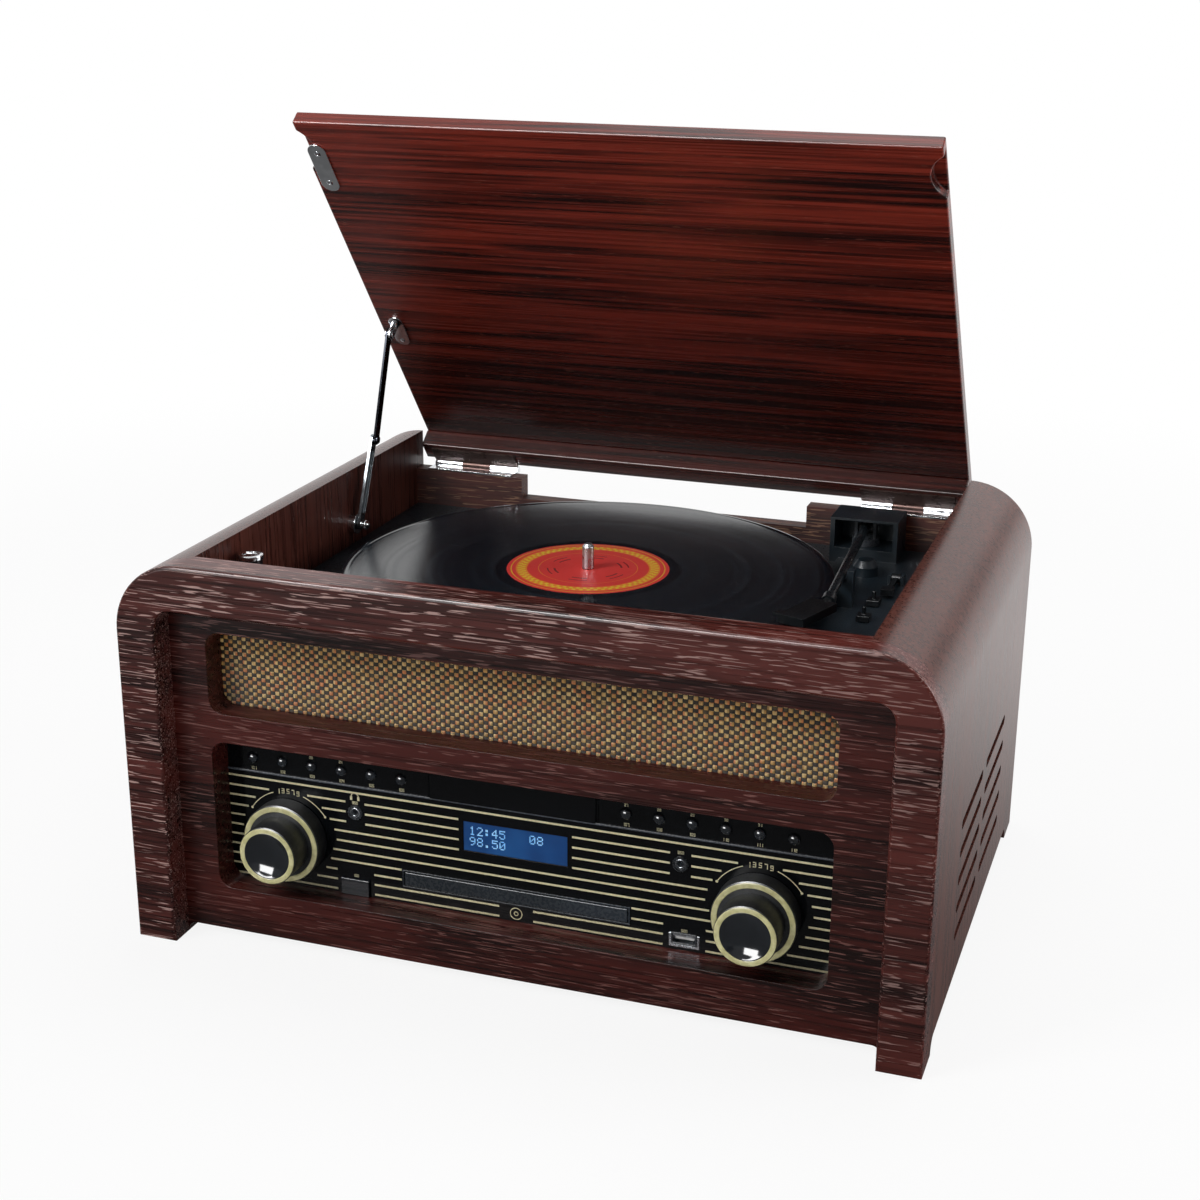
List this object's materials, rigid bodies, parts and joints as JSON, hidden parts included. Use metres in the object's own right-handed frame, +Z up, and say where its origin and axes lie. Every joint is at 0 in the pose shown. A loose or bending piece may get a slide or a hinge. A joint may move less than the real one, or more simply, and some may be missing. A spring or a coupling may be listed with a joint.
{
  "type": "stereo music centre",
  "caption": "Wooden music centre with a record player under a lifting lid, a cloth grille, a disc drawer, dials and buttons.",
  "frame": {"origin": "on the ground, under the middle of the object's box with its lid open", "axes": "+X to the right as seen from the front, +Y to the back, +Z up"},
  "size_m": [0.474, 0.3594, 0.4732],
  "materials": {
    "wood_front": "satin",
    "wood_side": "satin",
    "wood_lid": "satin",
    "wood_dark": "matte",
    "chrome": "polished",
    "dark_steel": "satin",
    "bracket_steel": "satin",
    "catch_black": "gloss",
    "deck_black": "matte",
    "platter_grey": "satin",
    "mat_felt": "matte",
    "vinyl": "gloss",
    "motor_metal": "satin",
    "pulley_brass": "satin",
    "belt_rubber": "matte",
    "arm_grey": "satin",
    "shell_black": "gloss",
    "grille_fabric": "matte",
    "fascia_black": "gloss",
    "button_black": "gloss",
    "dial_black": "gloss",
    "display_blue": "gloss",
    "mech_grey": "matte",
    "drawer_black": "gloss",
    "socket_metal": "satin",
    "rear_socket_black": "matte",
    "board_green": "matte",
    "speaker_black": "matte",
    "supply_metal": "satin"
  },
  "bodies": {
    "cabinet": {"left_side": "wood_side", "right_side": "wood_side", "front_frame": "wood_front", "front_panel": "wood_front", "back_panel": "wood_dark", "base_panel": "wood_dark", "deck_cleats": "wood_dark", "hinge_lower_leaves": "chrome", "stay_wall_stud": "chrome", "lid_catch": "catch_black", "turntable_deck": "deck_black", "turntable_motor": "motor_metal", "drive_belt": "belt_rubber", "tonearm_base": "deck_black", "grille_board": "wood_dark", "grille_cloth": "grille_fabric", "control_fascia": "fascia_black", "display_module": "display_blue", "cd_mechanism": "mech_grey", "front_sockets": "socket_metal", "main_board": "board_green", "left_speaker": "speaker_black", "right_speaker": "speaker_black", "power_supply": "supply_metal", "rear_sockets": "rear_socket_black", "panel_screws": "bracket_steel"},
    "lid": {"lid_board": "wood_lid", "lid_batten": "wood_lid", "hinge_upper_leaves": "chrome", "stay_lid_bracket": "bracket_steel", "strike_plate": "chrome"},
    "stay_upper": {"stay_upper_arm": "dark_steel"},
    "stay_lower": {"stay_lower_arm": "chrome"},
    "turntable": {"platter": "platter_grey", "slip_mat": "mat_felt", "record": "vinyl", "spindle": "chrome"},
    "pulley": {"motor_pulley": "pulley_brass"},
    "yoke": {"arm_yoke": "arm_grey"},
    "arm": {"tonearm": "arm_grey", "headshell": "shell_black"},
    "cue": {"cue_lever": "shell_black"},
    "speed": {"speed_selector": "shell_black"},
    "stop": {"stop_switch": "shell_black"},
    "power": {"power_button": "button_black"},
    "volume": {"volume_knob": "dial_black"},
    "tuning": {"tuning_knob": "dial_black"},
    "drawer": {"cd_drawer": "drawer_black"},
    "left_button_1_body": {"left_button_1": "button_black"},
    "left_button_2_body": {"left_button_2": "button_black"},
    "left_button_3_body": {"left_button_3": "button_black"},
    "left_button_4_body": {"left_button_4": "button_black"},
    "left_button_5_body": {"left_button_5": "button_black"},
    "left_button_6_body": {"left_button_6": "button_black"},
    "right_button_1_body": {"right_button_1": "button_black"},
    "right_button_2_body": {"right_button_2": "button_black"},
    "right_button_3_body": {"right_button_3": "button_black"},
    "right_button_4_body": {"right_button_4": "button_black"},
    "right_button_5_body": {"right_button_5": "button_black"},
    "right_button_6_body": {"right_button_6": "button_black"}
  },
  "joints": [
    {"name": "lid_hinge", "type": "hinge", "parent": "cabinet", "child": "lid", "pos_m": [0, 0.16356, 0.2145], "axis": [1, 0, 0], "range_deg": [0, 51]},
    {"name": "stay_lower_pivot", "type": "hinge", "parent": "cabinet", "child": "stay_lower", "pos_m": [-0.1885, 0.04126, 0.202], "axis": [1, 0, 0], "range_deg": [-74.7, 0]},
    {"name": "stay_upper_pivot", "type": "hinge", "parent": "lid", "child": "stay_upper", "pos_m": [-0.1865, 0.08957, 0.32096], "axis": [1, 0, 0], "range_deg": [0, 33]},
    {"name": "platter_spin", "type": "hinge", "parent": "cabinet", "child": "turntable", "pos_m": [-0.012, -0.00499, 0.2], "axis": [0, 0, 1], "continuous": true},
    {"name": "pulley_spin", "type": "hinge", "parent": "cabinet", "child": "pulley", "pos_m": [-0.08475, 0.03701, 0.19], "axis": [0, 0, 1], "continuous": true},
    {"name": "arm_swing", "type": "hinge", "parent": "cabinet", "child": "yoke", "pos_m": [0.134, 0.12626, 0.2], "axis": [0, 0, -1], "range_deg": [0, 38]},
    {"name": "arm_lift", "type": "hinge", "parent": "yoke", "child": "arm", "pos_m": [0.134, 0.12626, 0.2105], "axis": [-0.9979, -0.0645, 0], "range_deg": [0, 4]},
    {"name": "cue_lift", "type": "hinge", "parent": "cabinet", "child": "cue", "pos_m": [0.165, 0.07226, 0.1945], "axis": [-1, 0, 0], "range_deg": [0, 25]},
    {"name": "speed_slide", "type": "slide", "parent": "cabinet", "child": "speed", "axis": [0, 1, 0], "range_m": [0, 0.008]},
    {"name": "stop_slide", "type": "slide", "parent": "cabinet", "child": "stop", "axis": [0, 1, 0], "range_m": [0, 0.008]},
    {"name": "left_button_1_press", "type": "slide", "parent": "cabinet", "child": "left_button_1_body", "axis": [0, 1, 0], "range_m": [0, 0.0015], "stiffness_N_per_m": 300, "springref_m": -0.002},
    {"name": "left_button_2_press", "type": "slide", "parent": "cabinet", "child": "left_button_2_body", "axis": [0, 1, 0], "range_m": [0, 0.0015], "stiffness_N_per_m": 300, "springref_m": -0.002},
    {"name": "left_button_3_press", "type": "slide", "parent": "cabinet", "child": "left_button_3_body", "axis": [0, 1, 0], "range_m": [0, 0.0015], "stiffness_N_per_m": 300, "springref_m": -0.002},
    {"name": "left_button_4_press", "type": "slide", "parent": "cabinet", "child": "left_button_4_body", "axis": [0, 1, 0], "range_m": [0, 0.0015], "stiffness_N_per_m": 300, "springref_m": -0.002},
    {"name": "left_button_5_press", "type": "slide", "parent": "cabinet", "child": "left_button_5_body", "axis": [0, 1, 0], "range_m": [0, 0.0015], "stiffness_N_per_m": 300, "springref_m": -0.002},
    {"name": "left_button_6_press", "type": "slide", "parent": "cabinet", "child": "left_button_6_body", "axis": [0, 1, 0], "range_m": [0, 0.0015], "stiffness_N_per_m": 300, "springref_m": -0.002},
    {"name": "right_button_1_press", "type": "slide", "parent": "cabinet", "child": "right_button_1_body", "axis": [0, 1, 0], "range_m": [0, 0.0015], "stiffness_N_per_m": 300, "springref_m": -0.002},
    {"name": "right_button_2_press", "type": "slide", "parent": "cabinet", "child": "right_button_2_body", "axis": [0, 1, 0], "range_m": [0, 0.0015], "stiffness_N_per_m": 300, "springref_m": -0.002},
    {"name": "right_button_3_press", "type": "slide", "parent": "cabinet", "child": "right_button_3_body", "axis": [0, 1, 0], "range_m": [0, 0.0015], "stiffness_N_per_m": 300, "springref_m": -0.002},
    {"name": "right_button_4_press", "type": "slide", "parent": "cabinet", "child": "right_button_4_body", "axis": [0, 1, 0], "range_m": [0, 0.0015], "stiffness_N_per_m": 300, "springref_m": -0.002},
    {"name": "right_button_5_press", "type": "slide", "parent": "cabinet", "child": "right_button_5_body", "axis": [0, 1, 0], "range_m": [0, 0.0015], "stiffness_N_per_m": 300, "springref_m": -0.002},
    {"name": "right_button_6_press", "type": "slide", "parent": "cabinet", "child": "right_button_6_body", "axis": [0, 1, 0], "range_m": [0, 0.0015], "stiffness_N_per_m": 300, "springref_m": -0.002},
    {"name": "power_press", "type": "slide", "parent": "cabinet", "child": "power", "axis": [0, 1, 0], "range_m": [0, 0.0015], "stiffness_N_per_m": 300, "springref_m": -0.002},
    {"name": "volume_turn", "type": "hinge", "parent": "cabinet", "child": "volume", "pos_m": [-0.15, -0.14974, 0.0647], "axis": [0, 1, 0], "range_deg": [-140, 140]},
    {"name": "tuning_turn", "type": "hinge", "parent": "cabinet", "child": "tuning", "pos_m": [0.1373, -0.14974, 0.0647], "axis": [0, 1, 0], "continuous": true},
    {"name": "drawer_slide", "type": "slide", "parent": "cabinet", "child": "drawer", "axis": [0, -1, 0], "range_m": [0, 0.125]}
  ],
  "couplings": [
    {"joint": "stay_lower_pivot", "follows": "lid_hinge", "ratio": -1.4635},
    {"joint": "stay_upper_pivot", "follows": "lid_hinge", "ratio": 0.64592},
    {"joint": "pulley_spin", "follows": "platter_spin", "ratio": 14}
  ]
}
